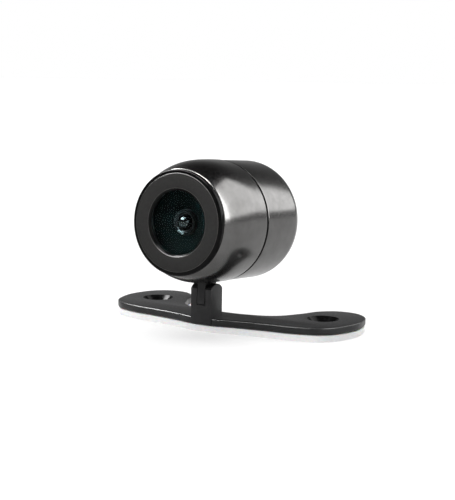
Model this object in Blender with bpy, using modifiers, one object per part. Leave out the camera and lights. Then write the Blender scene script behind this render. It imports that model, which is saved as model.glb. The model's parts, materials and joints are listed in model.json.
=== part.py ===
"""Round two-wing backup camera on a flat bracket: a tilting barrel with its lens, boards and seals inside.

Metres, +Z up. The origin is under the middle of the column, on the underside of the adhesive pad. The lens
looks along -Y, and X runs along the bracket. The camera head hangs on an empty at the tilt hinge.
"""

import math

import bmesh
import bpy

MM = 0.001
GAP = 0.3 * MM

# Bracket
PAD_THICKNESS = 1.4 * MM
PLATE_BOTTOM = 1.5 * MM
PLATE_THICKNESS = 1.5 * MM
PLATE_EDGE_CHAMFER = 0.3 * MM
PLATE_TOP = PLATE_BOTTOM + PLATE_THICKNESS
SCREW_HOLE_X = 20.8 * MM
SCREW_HOLE_Y = 12.0 * MM
SCREW_HOLE_RADIUS = 2.1 * MM
COUNTERSINK_RADIUS = 3.35 * MM
COUNTERSINK_DEPTH = 1.2 * MM
PAD_HOLE_RADIUS = 2.5 * MM

# Tilt hinge: a tongue under the camera body, between the two ears of the bracket's column. The screw goes in
# from -X and ends in a blind hole, so the +X ear is plain.
COLUMN_WIDTH = 5.0 * MM
COLUMN_DEPTH = 4.2 * MM
PIVOT_HEIGHT = PLATE_TOP + 4.4 * MM
KNUCKLE_RADIUS = 2.6 * MM
SOCKET_RADIUS = 2.72 * MM
SOCKET_LIP = 1.5 * MM
TONGUE_WIDTH = 1.8 * MM
FORK_GAP = 0.1 * MM
TONGUE_HOLE_RADIUS = 1.5 * MM
BUSH_RADIUS = 1.3 * MM
BUSH_BORE_RADIUS = 0.9 * MM
PIN_RADIUS = 0.7 * MM
PIN_HOLE_RADIUS = 0.95 * MM
SCREW_HEAD_RADIUS = 1.55 * MM
SCREW_HEAD_DEPTH = 0.8 * MM
BLIND_WALL = 0.6 * MM
REST_TILT = math.radians(3.3)

# Camera body. F is the distance in front of the column's centre plane, so the rear of the body is negative.
BODY_AXIS_HEIGHT = 15.3 * MM
BODY_RADIUS = 12.6 * MM
BODY_FRONT_RADIUS = 10.6 * MM
REAR_RADIUS = 12.5 * MM
REAR_EDGE_RADIUS = 4.0 * MM
FACE_F = 12.1 * MM
FACE_RADIUS = 9.7 * MM
RIM_RADIUS = 10.55 * MM
WINDOW_RADIUS = 6.8 * MM
WINDOW_INNER_RADIUS = 6.35 * MM
BEZEL_LIP_F = 11.6 * MM
BEZEL_BACK_F = 11.15 * MM
BEZEL_SPIGOT_F = 7.6 * MM
HOUSING_FRONT_F = 11.0 * MM
WIDEST_F = -1.0 * MM
SEAM_F = -2.0 * MM
REAR_COVER_FRONT_F = -2.4 * MM
REAR_FACE_F = -17.4 * MM
BORE_RADIUS = 9.3 * MM
SPIGOT_BORE_RADIUS = 10.8 * MM
LEDGE_F = 0.6 * MM
BOARD_RADIUS = 9.2 * MM
BOARD_THICKNESS = 1.0 * MM
SENSOR_BOARD_F = -1.4 * MM
POWER_BOARD_F = -8.0 * MM
POST_RADIUS = 1.3 * MM
FRONT_POST_X = 8.1 * MM
REAR_POST_Z = 7.6 * MM
HOLDER_SCREW_OFFSET = 5.2 * MM
TAPPED_RADIUS = 0.8 * MM
THREAD_RADIUS = 0.5 * MM

FINE_STEPS = 40
COARSE_STEPS = 24


def clear_scene():
    for old in list(bpy.data.objects):
        bpy.data.objects.remove(old, do_unlink=True)


def new_collection(name):
    made = bpy.data.collections.new(name)
    bpy.context.scene.collection.children.link(made)
    return made


def new_material(name, colour, roughness, metallic=0.0, transmission=0.0):
    made = bpy.data.materials.new(name)
    made.use_nodes = True
    shader = made.node_tree.nodes["Principled BSDF"]
    shader.inputs["Base Color"].default_value = (*colour, 1.0)
    shader.inputs["Roughness"].default_value = roughness
    shader.inputs["Metallic"].default_value = metallic
    shader.inputs["Transmission Weight"].default_value = transmission
    return made


clear_scene()
PARTS = new_collection("backup_camera")
CUTTERS = new_collection("cutters")

BLACK_CHROME = new_material("black_chrome", (0.10, 0.095, 0.09), 0.16, 0.9)
SATIN_METAL = new_material("satin_metal", (0.05, 0.046, 0.043), 0.42, 0.6)
BLACK_PAINT = new_material("black_paint", (0.018, 0.018, 0.02), 0.28)
WHITE_FOAM = new_material("white_foam", (0.85, 0.85, 0.84), 0.85)
STEEL = new_material("steel", (0.55, 0.55, 0.56), 0.3, 1.0)
NYLON = new_material("nylon", (0.75, 0.74, 0.70), 0.5)
RUBBER = new_material("rubber", (0.02, 0.02, 0.02), 0.75)
MATTE_BLACK = new_material("matte_black", (0.008, 0.012, 0.012), 0.6)
GLASS = new_material("glass", (0.9, 0.95, 0.95), 0.03, 0.0, 1.0)
FILTER_GLASS = new_material("filter_glass", (0.75, 0.9, 0.95), 0.05, 0.0, 1.0)
CIRCUIT_BOARD = new_material("circuit_board", (0.015, 0.10, 0.045), 0.4)
CHIP_PLASTIC = new_material("chip_plastic", (0.02, 0.02, 0.022), 0.5)
CAN_METAL = new_material("can_metal", (0.62, 0.63, 0.64), 0.28, 1.0)
SOCKET_PLASTIC = new_material("socket_plastic", (0.80, 0.78, 0.70), 0.45)

PIVOT = bpy.data.objects.new("tilt_pivot", None)
PIVOT.location = (0.0, 0.0, PIVOT_HEIGHT)
PIVOT.rotation_euler = (-REST_TILT, 0.0, 0.0)
PARTS.objects.link(PIVOT)


def place(made, name, material=None, parent=None):
    """Names the object, moves it to the parts collection and gives it its material and parent."""
    made.name = name
    made.data.name = name
    for holder in list(made.users_collection):
        holder.objects.unlink(made)
    PARTS.objects.link(made)
    if material:
        made.data.materials.clear()
        made.data.materials.append(material)
    made.parent = parent
    return made


def as_cutter(made, name):
    place(made, name)
    PARTS.objects.unlink(made)
    CUTTERS.objects.link(made)
    made.hide_render = True
    made.display_type = "WIRE"
    return made


def shade_round(made):
    made.data.shade_smooth()
    made.data.set_sharp_from_angle(angle=math.radians(32))


def box(centre, size):
    bpy.ops.mesh.primitive_cube_add(size=1.0, location=centre)
    made = bpy.context.object
    made.data.transform(made.matrix_basis.Diagonal((*size, 1.0)))
    return made


def cylinder(centre, radius, length, rotation=(0.0, 0.0, 0.0), steps=COARSE_STEPS):
    bpy.ops.mesh.primitive_cylinder_add(
        vertices=steps, radius=radius, depth=length, location=centre, rotation=rotation
    )
    return bpy.context.object


def cone(centre, bottom_radius, top_radius, length, rotation=(0.0, 0.0, 0.0), steps=COARSE_STEPS):
    bpy.ops.mesh.primitive_cone_add(
        vertices=steps,
        radius1=bottom_radius,
        radius2=top_radius,
        depth=length,
        location=centre,
        rotation=rotation,
    )
    return bpy.context.object


ALONG_X = (0.0, math.radians(90), 0.0)
ALONG_LENS = (math.radians(90), 0.0, 0.0)


def turned(name, profile, steps=COARSE_STEPS, closed=True):
    """A turned solid about the lens axis, from (radius, F) points that run down the outer side."""
    shape = bmesh.new()
    points = [shape.verts.new((radius, 0.0, forward)) for radius, forward in profile]
    for start, end in zip(points, points[1:]):
        shape.edges.new((start, end))
    if closed:
        shape.edges.new((points[-1], points[0]))
    outline = bpy.data.meshes.new(name)
    shape.to_mesh(outline)
    shape.free()
    made = bpy.data.objects.new(name, outline)
    PARTS.objects.link(made)
    screw = made.modifiers.new("turn", "SCREW")
    screw.steps = steps
    screw.render_steps = steps
    screw.use_merge_vertices = True
    screw.merge_threshold = 0.00001
    screw.use_smooth_shade = True
    made.location = (0.0, 0.0, BODY_AXIS_HEIGHT)
    made.rotation_euler = ALONG_LENS
    return made


def in_body(x, forward, up=0.0):
    """A point of the camera head from its X, its F and its height above the lens axis."""
    return (x, -forward, BODY_AXIS_HEIGHT + up)


def board_part(name, x, forward_back, forward_front, up, width, height, material):
    length = forward_front - forward_back
    made = box(in_body(x, forward_back + length / 2, up), (width, length, height))
    return place(made, name, material, PIVOT)


def combine(made, other, operation):
    step = made.modifiers.new(f"{operation.lower()}_{other.name}", "BOOLEAN")
    step.operation = operation
    step.solver = "EXACT"
    step.object = other


def join(made, other, name):
    as_cutter(other, name).parent = made.parent
    combine(made, other, "UNION")


def cut(made, other, name):
    as_cutter(other, name).parent = made.parent
    combine(made, other, "DIFFERENCE")


def side_block(name, outline, width):
    """A block with the given (y, z) outline, width wide along X and centred on X = 0."""
    shape = bmesh.new()
    left = [shape.verts.new((-width / 2, y, z)) for y, z in outline]
    pushed = bmesh.ops.extrude_face_region(shape, geom=[shape.faces.new(left)])
    moved = [item for item in pushed["geom"] if isinstance(item, bmesh.types.BMVert)]
    bmesh.ops.translate(shape, verts=moved, vec=(width, 0.0, 0.0))
    bmesh.ops.recalc_face_normals(shape, faces=shape.faces)
    mesh = bpy.data.meshes.new(name)
    shape.to_mesh(mesh)
    shape.free()
    made = bpy.data.objects.new(name, mesh)
    PARTS.objects.link(made)
    return made


def arc(centre, radius, start, end, count):
    """Points of a circle in the (radius, F) plane, angles in degrees from the outward direction."""
    turns = [math.radians(start + (end - start) * i / count) for i in range(count + 1)]
    return [(centre[0] + radius * math.cos(t), centre[1] + radius * math.sin(t)) for t in turns]


# Half of the wing outline, from the front of the column out to the wing tip and back to the rear of the neck.
WING_OUTLINE = (
    (3.0, -1.8),
    (6.5, -0.9),
    (13.0, 0.2),
    (20.5, 1.3),
    (25.6, 3.8),
    (28.2, 9.0),
    (28.4, 15.0),
    (25.9, 20.2),
    (20.8, 21.8),
    (16.5, 19.2),
    (14.2, 14.0),
    (11.0, 9.0),
    (6.2, 7.0),
)
FRONT_MIDDLE = (0.0, -1.95)
REAR_MIDDLE = (0.0, 6.4)


def wing_plate(name, bottom, thickness, chamfer, inset):
    """A flat plate of the bracket's outline, made a mesh so that Booleans can cut it."""
    right = [(x * MM, y * MM) for x, y in WING_OUTLINE]
    left = [(-x, y) for x, y in reversed(right)]
    middle = [tuple(value * MM for value in point) for point in (FRONT_MIDDLE, REAR_MIDDLE)]
    outline = [middle[0], *right, middle[1], *left]
    data = bpy.data.curves.new(name, "CURVE")
    data.dimensions = "2D"
    data.fill_mode = "BOTH"
    data.resolution_u = 3
    data.extrude = thickness / 2 - chamfer
    data.bevel_depth = chamfer
    data.bevel_resolution = 0
    data.offset = -chamfer - inset
    spline = data.splines.new("BEZIER")
    spline.bezier_points.add(len(outline) - 1)
    for point, (x, y) in zip(spline.bezier_points, outline):
        point.co = (x, y, 0.0)
        point.handle_left_type = "AUTO"
        point.handle_right_type = "AUTO"
    spline.use_cyclic_u = True
    curve = bpy.data.objects.new(name + "_outline", data)
    curve.location = (0.0, 0.0, bottom + thickness / 2)
    PARTS.objects.link(curve)
    bpy.context.view_layer.update()
    graph = bpy.context.evaluated_depsgraph_get()
    mesh = bpy.data.meshes.new_from_object(curve.evaluated_get(graph))
    weld = bmesh.new()
    weld.from_mesh(mesh)
    bmesh.ops.remove_doubles(weld, verts=weld.verts, dist=0.000002)
    bmesh.ops.recalc_face_normals(weld, faces=weld.faces)
    weld.to_mesh(mesh)
    weld.free()
    plate = bpy.data.objects.new(name, mesh)
    plate.matrix_world = curve.matrix_world
    bpy.data.objects.remove(curve, do_unlink=True)
    return plate


def make_adhesive_pad():
    plate = wing_plate("adhesive_pad", 0.0, PAD_THICKNESS, 0.05 * MM, 0.2 * MM)
    pad = place(plate, "adhesive_pad", WHITE_FOAM)
    for side in (-1, 1):
        hole = cylinder((side * SCREW_HOLE_X, SCREW_HOLE_Y, 0.0), PAD_HOLE_RADIUS, 4 * PAD_THICKNESS)
        cut(pad, hole, f"pad_hole_{side}")


def knuckle_outline(far_z, side):
    """(y, z) outline about the pivot: rounded above it (side 1) or below it (-1), then straight to far_z."""
    half = COLUMN_DEPTH / 2
    clip = math.degrees(math.acos(half / KNUCKLE_RADIUS))
    rounded = arc((0.0, 0.0), KNUCKLE_RADIUS, side * clip, side * (180 - clip), 14)
    return [(half, far_z), *rounded, (-half, far_z)]


def slot_outline():
    """(y, z) outline about the pivot of the slot between the ears: a round floor, open above its two lips."""
    reach = COLUMN_DEPTH
    lip = math.degrees(math.asin(SOCKET_LIP / SOCKET_RADIUS))
    floor = arc((0.0, 0.0), SOCKET_RADIUS, -lip, lip - 180, 14)
    return [(reach, reach), (reach, -SOCKET_LIP), *floor, (-reach, -SOCKET_LIP), (-reach, reach)]


def make_mounting_bracket():
    plate = wing_plate("mounting_bracket", PLATE_BOTTOM, PLATE_THICKNESS, PLATE_EDGE_CHAMFER, 0.0)
    bracket = place(plate, "mounting_bracket", BLACK_PAINT)
    root = PLATE_BOTTOM + 0.1 * MM
    column = side_block("column", knuckle_outline(root - PIVOT_HEIGHT, 1), COLUMN_WIDTH)
    column.location = (0.0, 0.0, PIVOT_HEIGHT)
    join(bracket, column, "column")
    slot = side_block("fork_slot", slot_outline(), TONGUE_WIDTH + 2 * FORK_GAP)
    slot.location = (0.0, 0.0, PIVOT_HEIGHT)
    cut(bracket, slot, "fork_slot")
    hole_start = -COLUMN_WIDTH
    hole_end = COLUMN_WIDTH / 2 - BLIND_WALL
    hole_middle = ((hole_start + hole_end) / 2, 0.0, PIVOT_HEIGHT)
    cut(bracket, cylinder(hole_middle, PIN_HOLE_RADIUS, hole_end - hole_start, ALONG_X), "tilt_screw_hole")
    run_out = 0.4 * MM
    sink = cone(
        (-(COLUMN_WIDTH - SCREW_HEAD_DEPTH + run_out) / 2, 0.0, PIVOT_HEIGHT),
        SCREW_HEAD_RADIUS + 0.65 * MM,
        PIN_HOLE_RADIUS,
        SCREW_HEAD_DEPTH + run_out,
        ALONG_X,
    )
    cut(bracket, sink, "tilt_screw_sink")
    slope = (COUNTERSINK_RADIUS - SCREW_HOLE_RADIUS) / COUNTERSINK_DEPTH
    above = 0.5 * MM
    for side in (-1, 1):
        place_xy = (side * SCREW_HOLE_X, SCREW_HOLE_Y)
        hole = cylinder((*place_xy, PLATE_TOP), SCREW_HOLE_RADIUS, 4 * PLATE_THICKNESS, steps=FINE_STEPS)
        cut(bracket, hole, f"screw_hole_{side}")
        sink = cone(
            (*place_xy, PLATE_TOP + (above - COUNTERSINK_DEPTH) / 2),
            SCREW_HOLE_RADIUS,
            COUNTERSINK_RADIUS + slope * above,
            COUNTERSINK_DEPTH + above,
            steps=FINE_STEPS,
        )
        cut(bracket, sink, f"countersink_{side}")


def barrel_radius(forward):
    """The front housing swells from its front edge to its widest section, just before the seam."""
    share = max(0.0, forward - WIDEST_F) / (HOUSING_FRONT_F - WIDEST_F)
    return BODY_RADIUS - (BODY_RADIUS - BODY_FRONT_RADIUS) * share**3.5


def make_front_housing():
    chamfer = 0.25 * MM
    rows = 7
    stations = [HOUSING_FRONT_F + (WIDEST_F - HOUSING_FRONT_F) * (i / rows) ** 1.4 for i in range(rows + 1)]
    outer = [(barrel_radius(forward), forward) for forward in stations]
    profile = [
        (BORE_RADIUS, HOUSING_FRONT_F),
        *outer,
        (BODY_RADIUS, SEAM_F + chamfer),
        (BODY_RADIUS - chamfer, SEAM_F),
        (SPIGOT_BORE_RADIUS, SEAM_F),
        (SPIGOT_BORE_RADIUS, LEDGE_F),
        (BORE_RADIUS, LEDGE_F),
    ]
    housing = place(turned("front_housing", profile, FINE_STEPS), "front_housing", BLACK_CHROME, PIVOT)
    tongue_top = BODY_AXIS_HEIGHT - SPIGOT_BORE_RADIUS - GAP
    join(housing, side_block("tongue", knuckle_outline(tongue_top, -1), TONGUE_WIDTH), "tongue")
    tongue_hole = cylinder((0.0, 0.0, 0.0), TONGUE_HOLE_RADIUS, 2 * TONGUE_WIDTH, ALONG_X)
    cut(housing, tongue_hole, "tongue_hole")
    post_front = 6.0 * MM
    post_back = SENSOR_BOARD_F + GAP
    for side in (-1, 1):
        centre = in_body(side * FRONT_POST_X, (post_front + post_back) / 2)
        join(housing, cylinder(centre, POST_RADIUS, post_front - post_back, ALONG_LENS), f"board_post_{side}")
        tapped = cylinder(in_body(side * FRONT_POST_X, post_back), TAPPED_RADIUS, 6.0 * MM, ALONG_LENS)
        cut(housing, tapped, f"board_post_thread_{side}")


def make_tilt_hinge():
    pivot = (0.0, 0.0, PIVOT_HEIGHT)
    bush = place(cylinder(pivot, BUSH_RADIUS, TONGUE_WIDTH, ALONG_X), "tilt_bush", NYLON)
    cut(bush, cylinder(pivot, BUSH_BORE_RADIUS, 2 * TONGUE_WIDTH, ALONG_X), "tilt_bush_bore")
    head_face = 0.05 * MM - COLUMN_WIDTH / 2
    shank_start = head_face + 0.1 * MM
    shank_end = COLUMN_WIDTH / 2 - BLIND_WALL - GAP
    shank_middle = ((shank_start + shank_end) / 2, 0.0, PIVOT_HEIGHT)
    shank = cylinder(shank_middle, PIN_RADIUS, shank_end - shank_start, ALONG_X)
    screw = place(shank, "tilt_screw", STEEL)
    head = cone(
        (head_face + SCREW_HEAD_DEPTH / 2, 0.0, PIVOT_HEIGHT),
        SCREW_HEAD_RADIUS,
        PIN_RADIUS * 0.9,
        SCREW_HEAD_DEPTH,
        ALONG_X,
    )
    join(screw, head, "tilt_screw_head")
    for index, size in enumerate(((0.8, 1.9, 0.45), (0.8, 0.45, 1.9))):
        recess = box((head_face, 0.0, PIVOT_HEIGHT), [value * MM for value in size])
        cut(screw, recess, f"tilt_screw_recess_{index}")


def make_front_bezel():
    spigot_radius = 9.0 * MM
    spigot_bore = 8.2 * MM
    profile = [
        (WINDOW_INNER_RADIUS, BEZEL_LIP_F + 0.05 * MM),
        (WINDOW_RADIUS, FACE_F),
        (FACE_RADIUS, FACE_F),
        (RIM_RADIUS - 0.2 * MM, FACE_F - 0.1 * MM),
        (RIM_RADIUS, FACE_F - 0.3 * MM),
        (RIM_RADIUS, BEZEL_BACK_F),
        (spigot_radius, BEZEL_BACK_F),
        (spigot_radius, BEZEL_SPIGOT_F),
        (spigot_bore, BEZEL_SPIGOT_F),
        (spigot_bore, BEZEL_LIP_F),
        (WINDOW_INNER_RADIUS, BEZEL_LIP_F),
    ]
    place(turned("front_bezel", profile, FINE_STEPS), "front_bezel", SATIN_METAL, PIVOT)


def make_window():
    disc = [
        (0.0, 11.3 * MM),
        (7.65 * MM, 11.3 * MM),
        (7.8 * MM, 11.15 * MM),
        (7.8 * MM, 10.5 * MM),
        (0.0, 10.5 * MM),
    ]
    glass = turned("window_glass", disc, FINE_STEPS, closed=False)
    place(glass, "window_glass", GLASS, PIVOT)
    ring = [
        (6.9 * MM, 10.3 * MM),
        (7.8 * MM, 10.3 * MM),
        (7.8 * MM, 9.9 * MM),
        (6.9 * MM, 9.9 * MM),
    ]
    place(turned("window_gasket", ring, FINE_STEPS), "window_gasket", RUBBER, PIVOT)
    dish = [
        (6.7 * MM, 9.65 * MM),
        (7.8 * MM, 9.65 * MM),
        (7.8 * MM, 8.6 * MM),
        (2.9 * MM, 7.9 * MM),
        (2.9 * MM, 8.6 * MM),
    ]
    place(turned("lens_baffle", dish, FINE_STEPS), "lens_baffle", MATTE_BLACK, PIVOT)


def biconvex(radius, front, back, bulge):
    """Closed lens profile from the front pole to the rear pole, with a straight cylindrical edge."""
    count = 4
    shares = [i / count for i in range(count + 1)]
    face = [(radius * share, front - bulge * share**2) for share in shares]
    rear = [(radius * share, back + bulge * share**2) for share in reversed(shares)]
    return face + rear


def make_lens():
    barrel = [
        (1.75 * MM, 8.9 * MM),
        (2.2 * MM, 9.0 * MM),
        (2.4 * MM, 9.3 * MM),
        (2.5 * MM, 9.2 * MM),
        (2.5 * MM, 7.5 * MM),
        (4.0 * MM, 7.5 * MM),
        (4.0 * MM, 0.8 * MM),
        (2.9 * MM, 0.8 * MM),
        (2.9 * MM, 6.9 * MM),
        (1.75 * MM, 7.1 * MM),
    ]
    place(turned("lens_barrel", barrel), "lens_barrel", MATTE_BLACK, PIVOT)
    dome_radius = 1.6 * MM
    front = arc((0.0, 8.75 * MM), dome_radius, 90, 0, 8) + [(dome_radius, 7.4 * MM), (0.0, 7.4 * MM)]
    place(turned("lens_front_element", front, closed=False), "lens_front_element", GLASS, PIVOT)
    elements = (("lens_middle_element", 5.8, 4.6, 0.35), ("lens_rear_element", 4.2, 3.0, 0.3))
    for name, near, far, bulge in elements:
        profile = biconvex(2.6 * MM, near * MM, far * MM, bulge * MM)
        place(turned(name, profile, closed=False), name, GLASS, PIVOT)
    rings = (("lens_spacer", 1.7, 6.7, 6.0, MATTE_BLACK), ("lens_retaining_ring", 1.8, 2.0, 1.2, STEEL))
    for name, bore, near, far, material in rings:
        profile = [(bore * MM, near * MM), (2.6 * MM, near * MM), (2.6 * MM, far * MM), (bore * MM, far * MM)]
        place(turned(name, profile), name, material, PIVOT)
    disc = [(0.0, 2.7 * MM), (2.6 * MM, 2.7 * MM), (2.6 * MM, 2.3 * MM), (0.0, 2.3 * MM)]
    place(turned("ir_filter", disc, closed=False), "ir_filter", FILTER_GLASS, PIVOT)


def make_small_screw(name, x, up, seat, outward, length):
    """A pan-head screw along the lens axis: its head stands on seat, on the side that outward gives."""
    head_height = 0.6 * MM
    seat += outward * 0.3 * MM
    shank = cylinder(in_body(x, seat - outward * length / 2, up), THREAD_RADIUS, length, ALONG_LENS, 16)
    screw = place(shank, name, STEEL, PIVOT)
    head = cylinder(in_body(x, seat + outward * head_height / 2.2, up), 1.0 * MM, head_height, ALONG_LENS, 20)
    join(screw, head, name + "_head")
    recess = box(in_body(x, seat + outward * head_height, up), (1.3 * MM, 0.5 * MM, 0.3 * MM))
    cut(screw, recess, name + "_slot")


def make_sensor_stack():
    base_front = 0.3 * MM
    base_back = SENSOR_BOARD_F + GAP
    side = 12.6 * MM
    base = box(in_body(0.0, (base_front + base_back) / 2), (side, base_front - base_back, side))
    holder = place(base, "lens_holder", CHIP_PLASTIC, PIVOT)
    tube_front = 5.0 * MM
    tube = cylinder(in_body(0.0, tube_front / 2), 5.4 * MM, tube_front, ALONG_LENS, FINE_STEPS)
    join(holder, tube, "lens_holder_tube")
    bore = cylinder(in_body(0.0, 2.0 * MM), 4.3 * MM, 12.0 * MM, ALONG_LENS, FINE_STEPS)
    cut(holder, bore, "lens_holder_bore")
    sensor_back = SENSOR_BOARD_F + GAP
    sensor_front = sensor_back + 0.8 * MM
    board_part("image_sensor", 0.0, sensor_back, sensor_front, 0.0, 6.0 * MM, 5.4 * MM, CHIP_PLASTIC)
    board_middle = in_body(0.0, SENSOR_BOARD_F - BOARD_THICKNESS / 2)
    disc = cylinder(board_middle, BOARD_RADIUS, BOARD_THICKNESS, ALONG_LENS, FINE_STEPS)
    board = place(disc, "sensor_board", CIRCUIT_BOARD, PIVOT)
    seat = SENSOR_BOARD_F - BOARD_THICKNESS
    for index, sign in enumerate((-1, 1), 1):
        offset = sign * HOLDER_SCREW_OFFSET
        hole = cylinder(in_body(offset, SENSOR_BOARD_F, offset), TAPPED_RADIUS, 4.0 * MM, ALONG_LENS, 16)
        cut(board, hole, f"holder_screw_clearance_{index}")
        thread = cylinder(in_body(offset, SENSOR_BOARD_F, offset), TAPPED_RADIUS, 5.0 * MM, ALONG_LENS, 16)
        cut(holder, thread, f"holder_screw_thread_{index}")
        make_small_screw(f"lens_holder_screw_{index}", offset, offset, seat, -1, 2.8 * MM)
        post_middle = in_body(sign * FRONT_POST_X, SENSOR_BOARD_F)
        post_hole = cylinder(post_middle, TAPPED_RADIUS, 4.0 * MM, ALONG_LENS, 16)
        cut(board, post_hole, f"sensor_board_clearance_{index}")
        make_small_screw(f"sensor_board_screw_{index}", sign * FRONT_POST_X, 0.0, seat, -1, 3.6 * MM)
    rear = seat - GAP
    board_part("image_processor", 0.0, rear - 0.9 * MM, rear, 0.2 * MM, 5.2 * MM, 5.2 * MM, CHIP_PLASTIC)
    board_part("crystal", 0.0, rear - 0.9 * MM, rear, 5.2 * MM, 3.2 * MM, 1.5 * MM, CAN_METAL)


def make_power_stack():
    front = POWER_BOARD_F + GAP
    rear = POWER_BOARD_F - BOARD_THICKNESS
    board_middle = in_body(0.0, (POWER_BOARD_F + rear) / 2)
    disc = cylinder(board_middle, BOARD_RADIUS, BOARD_THICKNESS, ALONG_LENS, FINE_STEPS)
    board = place(disc, "power_board", CIRCUIT_BOARD, PIVOT)
    for index, sign in enumerate((-1, 1), 1):
        up = sign * REAR_POST_Z
        hole = cylinder(in_body(0.0, POWER_BOARD_F, up), TAPPED_RADIUS, 4.0 * MM, ALONG_LENS, 16)
        cut(board, hole, f"power_board_clearance_{index}")
        make_small_screw(f"power_board_screw_{index}", 0.0, up, POWER_BOARD_F, 1, 3.6 * MM)
        centre = in_body(sign * 5.2 * MM, front + 1.75 * MM, 3.0 * MM)
        can = cylinder(centre, 1.5 * MM, 3.5 * MM, ALONG_LENS)
        place(can, f"capacitor_{index}", CAN_METAL, PIVOT)
    board_part("inductor", 0.0, front, front + 1.9 * MM, 2.6 * MM, 3.6 * MM, 3.6 * MM, CHIP_PLASTIC)
    header_back = POWER_BOARD_F + GAP
    header_front = SENSOR_BOARD_F - BOARD_THICKNESS - GAP
    board_part("board_header", 0.0, header_back, header_front, -4.6 * MM, 8.0 * MM, 2.2 * MM, CHIP_PLASTIC)
    behind = rear - GAP
    chip_back = behind - 1.2 * MM
    board_part("voltage_regulator", -3.6 * MM, chip_back, behind, 2.8 * MM, 4.0 * MM, 3.2 * MM, CHIP_PLASTIC)
    width, height, wall = 6.4 * MM, 3.2 * MM, 0.6 * MM
    socket_back = behind - 3.2 * MM
    socket_x, socket_up = 1.2 * MM, -3.4 * MM
    socket = board_part(
        "wire_socket", socket_x, socket_back, behind, socket_up, width, height, SOCKET_PLASTIC
    )
    mouth = box(in_body(socket_x, socket_back, socket_up), (width - 2 * wall, 4.4 * MM, height - 2 * wall))
    cut(socket, mouth, "wire_socket_mouth")


def make_rear_cover():
    corner = (REAR_RADIUS - REAR_EDGE_RADIUS, REAR_FACE_F + REAR_EDGE_RADIUS)
    end_wall_f = -16.1 * MM
    gland_hole = 2.7 * MM
    profile = [
        (REAR_RADIUS - GAP, REAR_COVER_FRONT_F),
        (REAR_RADIUS, REAR_COVER_FRONT_F - GAP),
        *arc(corner, REAR_EDGE_RADIUS, 0, -90, 7),
        (gland_hole, REAR_FACE_F),
        (gland_hole, end_wall_f),
        (8.9 * MM, end_wall_f),
        (10.3 * MM, -14.7 * MM),
        (10.3 * MM, -5.0 * MM),
        (9.7 * MM, -4.4 * MM),
        (9.7 * MM, -0.7 * MM),
        (10.5 * MM, -0.7 * MM),
        (10.5 * MM, REAR_COVER_FRONT_F),
    ]
    cover = place(turned("rear_cover", profile, FINE_STEPS), "rear_cover", BLACK_CHROME, PIVOT)
    post_front = POWER_BOARD_F - BOARD_THICKNESS - GAP
    post_back = end_wall_f - 0.6 * MM
    for sign in (-1, 1):
        up = sign * REAR_POST_Z
        centre = in_body(0.0, (post_front + post_back) / 2, up)
        join(cover, cylinder(centre, POST_RADIUS, post_front - post_back, ALONG_LENS), f"power_post_{sign}")
        thread = cylinder(in_body(0.0, post_front, up), TAPPED_RADIUS, 6.0 * MM, ALONG_LENS, 16)
        cut(cover, thread, f"power_post_thread_{sign}")
    seal = [
        (9.7 * MM, 0.3 * MM),
        (10.5 * MM, 0.3 * MM),
        (10.5 * MM, -0.4 * MM),
        (9.7 * MM, -0.4 * MM),
    ]
    place(turned("housing_seal", seal, FINE_STEPS), "housing_seal", RUBBER, PIVOT)


def make_cable_gland():
    profile = [
        (1.5 * MM, -15.0 * MM),
        (3.5 * MM, -15.0 * MM),
        (3.5 * MM, -15.8 * MM),
        (2.4 * MM, -15.8 * MM),
        (2.4 * MM, -17.7 * MM),
        (3.9 * MM, -17.7 * MM),
        (3.9 * MM, -18.2 * MM),
        (3.3 * MM, -19.0 * MM),
        (1.5 * MM, -19.0 * MM),
    ]
    place(turned("cable_gland", profile), "cable_gland", RUBBER, PIVOT)


make_adhesive_pad()
make_mounting_bracket()
make_front_housing()
make_tilt_hinge()
make_front_bezel()
make_window()
make_lens()
make_sensor_stack()
make_power_stack()
make_rear_cover()
make_cable_gland()
for part in PARTS.objects:
    if part.type == "MESH":
        shade_round(part)
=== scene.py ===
"""Looks of the round tilting backup camera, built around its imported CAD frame.

Metres, +Z up, lens along -Y.
"""

import json
import math

import bmesh
import bpy
from mathutils import Matrix, Vector

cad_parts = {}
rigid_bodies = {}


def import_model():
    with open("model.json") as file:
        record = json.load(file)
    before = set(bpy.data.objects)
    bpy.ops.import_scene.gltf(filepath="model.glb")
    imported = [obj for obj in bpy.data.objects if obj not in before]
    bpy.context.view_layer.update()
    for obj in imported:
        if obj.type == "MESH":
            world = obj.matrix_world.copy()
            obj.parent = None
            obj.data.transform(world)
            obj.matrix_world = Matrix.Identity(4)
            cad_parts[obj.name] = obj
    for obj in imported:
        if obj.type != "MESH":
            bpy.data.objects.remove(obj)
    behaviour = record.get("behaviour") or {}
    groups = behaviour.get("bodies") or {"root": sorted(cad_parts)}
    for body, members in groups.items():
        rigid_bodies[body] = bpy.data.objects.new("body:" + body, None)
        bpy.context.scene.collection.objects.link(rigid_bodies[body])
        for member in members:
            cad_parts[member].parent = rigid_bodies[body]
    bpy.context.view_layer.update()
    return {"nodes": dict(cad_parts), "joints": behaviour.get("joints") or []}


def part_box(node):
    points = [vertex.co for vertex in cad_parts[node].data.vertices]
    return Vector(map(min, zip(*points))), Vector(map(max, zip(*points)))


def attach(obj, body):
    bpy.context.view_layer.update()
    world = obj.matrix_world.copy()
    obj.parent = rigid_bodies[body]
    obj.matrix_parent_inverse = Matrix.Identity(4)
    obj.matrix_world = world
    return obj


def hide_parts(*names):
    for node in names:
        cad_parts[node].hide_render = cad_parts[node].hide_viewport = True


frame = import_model()

MM = 0.001
HEAD = "camera_head"
BASE = "base"

# ------------------------------------------------------------------------------
# Places taken from the frame
# ------------------------------------------------------------------------------

REST_TILT = math.radians(3.3)
PIVOT = Vector(frame["joints"][0]["pos_m"])
HEAD_FRAME = Matrix.Translation(PIVOT) @ Matrix.Rotation(-REST_TILT, 4, "X")


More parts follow.
